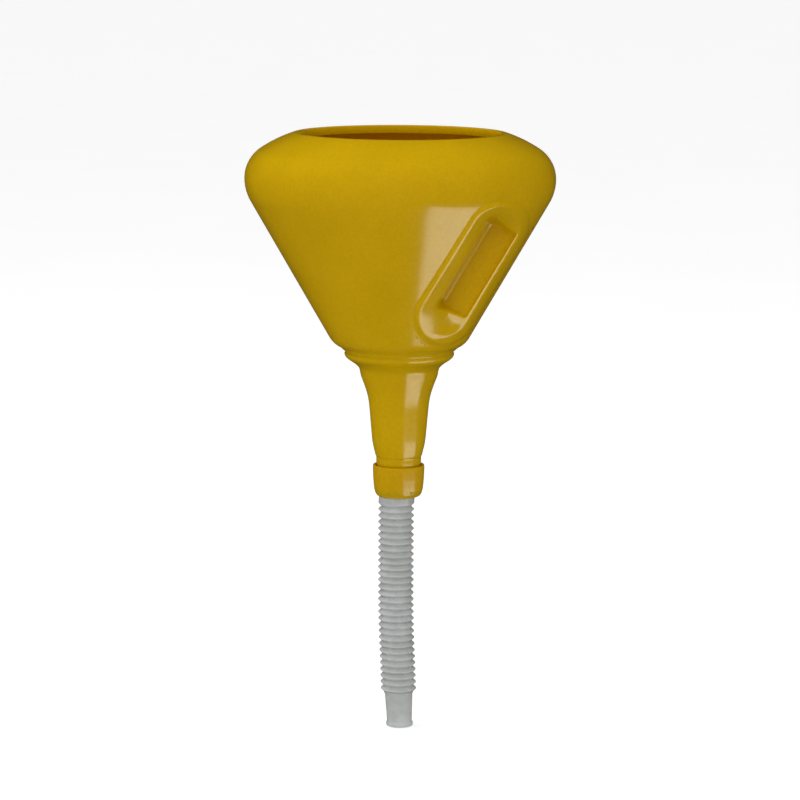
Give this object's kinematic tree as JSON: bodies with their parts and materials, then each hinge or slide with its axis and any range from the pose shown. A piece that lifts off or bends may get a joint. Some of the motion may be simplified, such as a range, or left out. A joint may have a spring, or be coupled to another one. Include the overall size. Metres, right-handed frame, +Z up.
{
  "type": "funnel",
  "caption": "Fuel and oil funnel: wide anti-splash bowl with grip recesses, lift-out strainer, and a ribbed flexible spout in a push-on collar.",
  "frame": {"origin": "on the funnel's axis, level with the open end of the spout", "axes": "+Z up along the axis, towards the mouth; the bowl's grip recesses are on the +X side, one towards -Y and one towards +Y"},
  "size_m": [0.2494, 0.2494, 0.488],
  "materials": {
    "bowl_plastic": "satin blow-moulded polyethylene, mustard yellow, slightly mottled",
    "collar_plastic": "satin injection-moulded polyethylene, a warmer yellow",
    "spout_plastic": "milky translucent soft polyethylene, grey",
    "frame_plastic": "matt black injection-moulded plastic",
    "gauze_metal": "fine woven stainless wire"
  },
  "bodies": {
    "funnel": {"funnel_body": "bowl_plastic"},
    "strainer": {"strainer_frame": "frame_plastic", "strainer_gauze": "gauze_metal"},
    "collar": {"spout_collar": "collar_plastic"},
    "spout_top": {"spout_cuff": "spout_plastic", "spout_fold_1": "spout_plastic"},
    "spout_1": {"spout_section_1": "spout_plastic", "spout_fold_2": "spout_plastic"},
    "spout_2": {"spout_section_2": "spout_plastic", "spout_fold_3": "spout_plastic"},
    "spout_3": {"spout_section_3": "spout_plastic", "spout_fold_4": "spout_plastic"},
    "spout_4": {"spout_section_4": "spout_plastic", "spout_fold_5": "spout_plastic"},
    "spout_5": {"spout_section_5": "spout_plastic", "spout_fold_6": "spout_plastic"},
    "spout_6": {"spout_section_6": "spout_plastic", "spout_fold_7": "spout_plastic"},
    "spout_7": {"spout_section_7": "spout_plastic", "spout_fold_8": "spout_plastic"},
    "spout_tip": {"spout_nozzle": "spout_plastic"}
  },
  "joints": [
    {"name": "strainer_lift", "type": "slide", "parent": "funnel", "child": "strainer", "axis": [0, 0, 1], "range_m": [0, 0.2]},
    {"name": "spout_release", "type": "slide", "parent": "funnel", "child": "collar", "axis": [0, 0, -1], "range_m": [0, 0.035]},
    {"name": "spout_swivel", "type": "hinge", "parent": "collar", "child": "spout_top", "pos_m": [0, 0, 0.1968], "axis": [0, 0, 1], "continuous": true},
    {"name": "spout_bend_1", "type": "hinge", "parent": "spout_top", "child": "spout_1", "pos_m": [0, 0, 0.18408], "axis": [0, 1, 0], "range_deg": [-11.25, 11.25], "stiffness_Nm_per_rad": 6, "deforming": ["spout_fold_1"]},
    {"name": "spout_bend_2", "type": "hinge", "parent": "spout_1", "child": "spout_2", "pos_m": [0, 0, 0.16265], "axis": [0, 1, 0], "range_deg": [-11.25, 11.25], "deforming": ["spout_fold_2"]},
    {"name": "spout_bend_3", "type": "hinge", "parent": "spout_2", "child": "spout_3", "pos_m": [0, 0, 0.14122], "axis": [0, 1, 0], "range_deg": [-11.25, 11.25], "deforming": ["spout_fold_3"]},
    {"name": "spout_bend_4", "type": "hinge", "parent": "spout_3", "child": "spout_4", "pos_m": [0, 0, 0.11979], "axis": [0, 1, 0], "range_deg": [-11.25, 11.25], "deforming": ["spout_fold_4"]},
    {"name": "spout_bend_5", "type": "hinge", "parent": "spout_4", "child": "spout_5", "pos_m": [0, 0, 0.09837], "axis": [0, 1, 0], "range_deg": [-11.25, 11.25], "deforming": ["spout_fold_5"]},
    {"name": "spout_bend_6", "type": "hinge", "parent": "spout_5", "child": "spout_6", "pos_m": [0, 0, 0.07694], "axis": [0, 1, 0], "range_deg": [-11.25, 11.25], "deforming": ["spout_fold_6"]},
    {"name": "spout_bend_7", "type": "hinge", "parent": "spout_6", "child": "spout_7", "pos_m": [0, 0, 0.05551], "axis": [0, 1, 0], "range_deg": [-11.25, 11.25], "deforming": ["spout_fold_7"]},
    {"name": "spout_bend_8", "type": "hinge", "parent": "spout_7", "child": "spout_tip", "pos_m": [0, 0, 0.03408], "axis": [0, 1, 0], "range_deg": [-11.25, 11.25], "deforming": ["spout_fold_8"]}
  ],
  "couplings": [
    {"joint": "spout_bend_2", "follows": "spout_bend_1", "ratio": 1},
    {"joint": "spout_bend_3", "follows": "spout_bend_1", "ratio": 1},
    {"joint": "spout_bend_4", "follows": "spout_bend_1", "ratio": 1},
    {"joint": "spout_bend_5", "follows": "spout_bend_1", "ratio": 1},
    {"joint": "spout_bend_6", "follows": "spout_bend_1", "ratio": 1},
    {"joint": "spout_bend_7", "follows": "spout_bend_1", "ratio": 1},
    {"joint": "spout_bend_8", "follows": "spout_bend_1", "ratio": 1}
  ]
}
